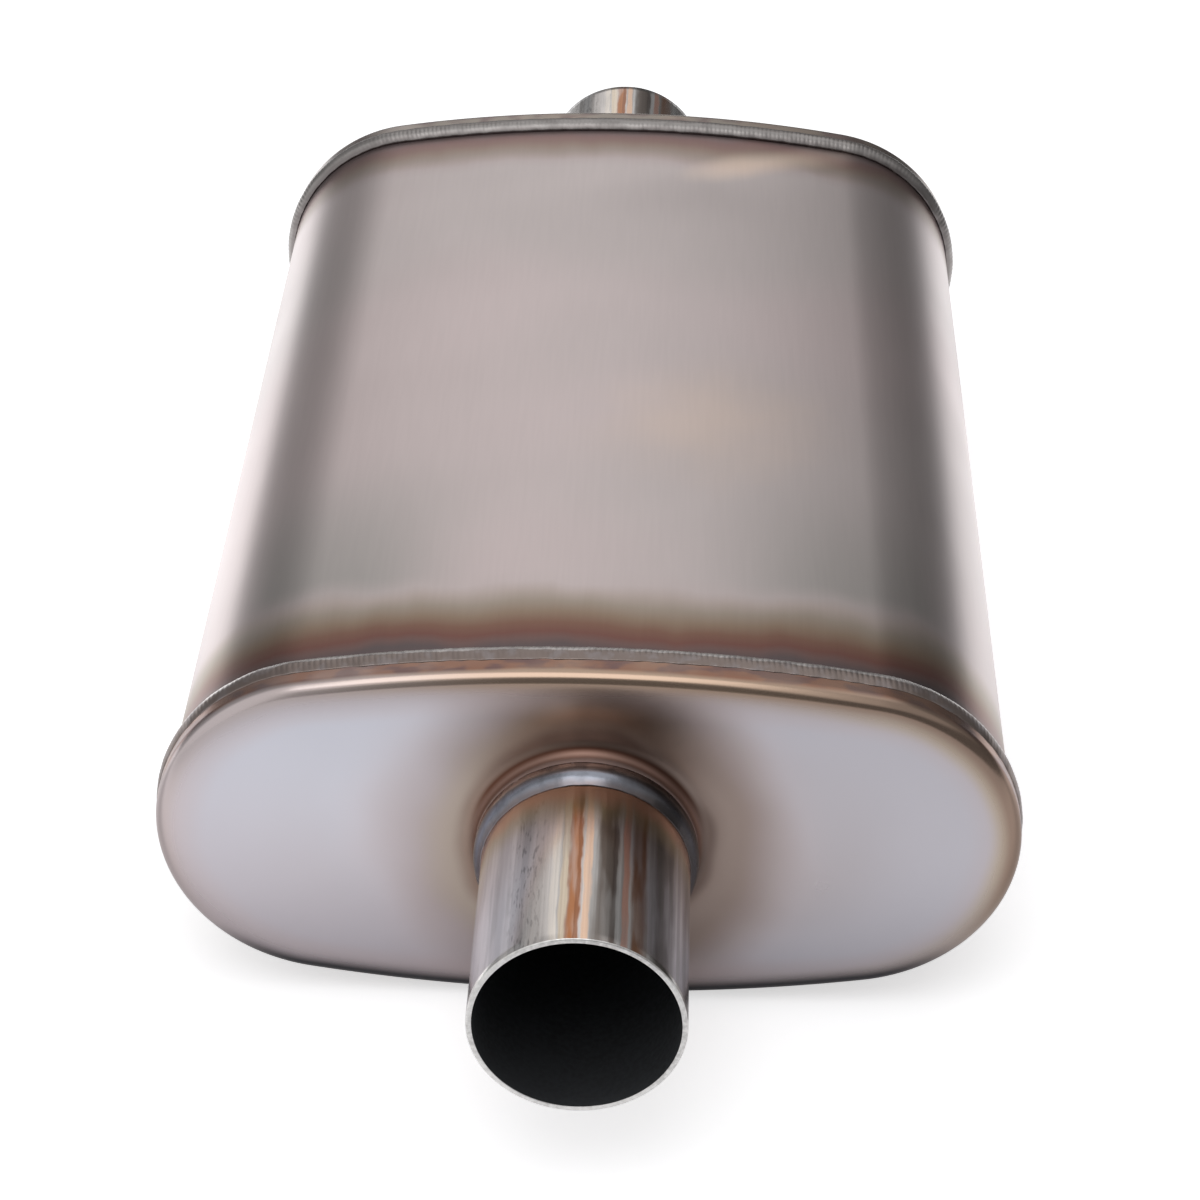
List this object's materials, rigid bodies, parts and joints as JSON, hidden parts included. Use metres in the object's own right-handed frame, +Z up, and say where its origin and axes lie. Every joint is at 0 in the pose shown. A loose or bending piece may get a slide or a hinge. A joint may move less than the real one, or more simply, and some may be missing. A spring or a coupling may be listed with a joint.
{
  "type": "performance muffler",
  "caption": "Oval straight-through muffler: satin steel shell, pressed end caps with welded rims, and a round neck in the centre of each end.",
  "frame": {"origin": "middle of the case, on the line through both necks", "axes": "+Y along the gas flow from the inlet neck to the outlet neck, +X across the case, +Z up out of its broad top"},
  "size_m": [0.2412, 0.5174, 0.112],
  "materials": {
    "shell_steel": "satin stainless sheet, warm mauve-grey, heat-tinted beside the welds",
    "cap_steel": "satin pressed stainless, lilac-grey, straw and brown heat tint at rim and collar",
    "neck_steel": "drawn stainless tube, semi-bright, rust-orange and brown streaks along it",
    "weld_bead": "rippled blue-grey weld metal",
    "core_steel": "mill-finish stainless strip",
    "steel_wool": "matted stainless fibres",
    "glass_fibre": "needled glass fibre mat, off-white"
  },
  "bodies": {
    "root": {"outer_shell": "shell_steel", "shell_seam_weld": "weld_bead", "inlet_end_cap": "cap_steel", "outlet_end_cap": "cap_steel", "inlet_rim_weld": "weld_bead", "outlet_rim_weld": "weld_bead", "inlet_neck": "neck_steel", "outlet_neck": "neck_steel", "inlet_neck_weld": "weld_bead", "outlet_neck_weld": "weld_bead", "slotted_core": "core_steel", "core_plug_welds": "weld_bead", "steel_wool_sleeve": "steel_wool", "wool_bands": "core_steel", "packing_blanket": "glass_fibre", "right_packing": "glass_fibre", "left_packing": "glass_fibre"}
  },
  "joints": []
}
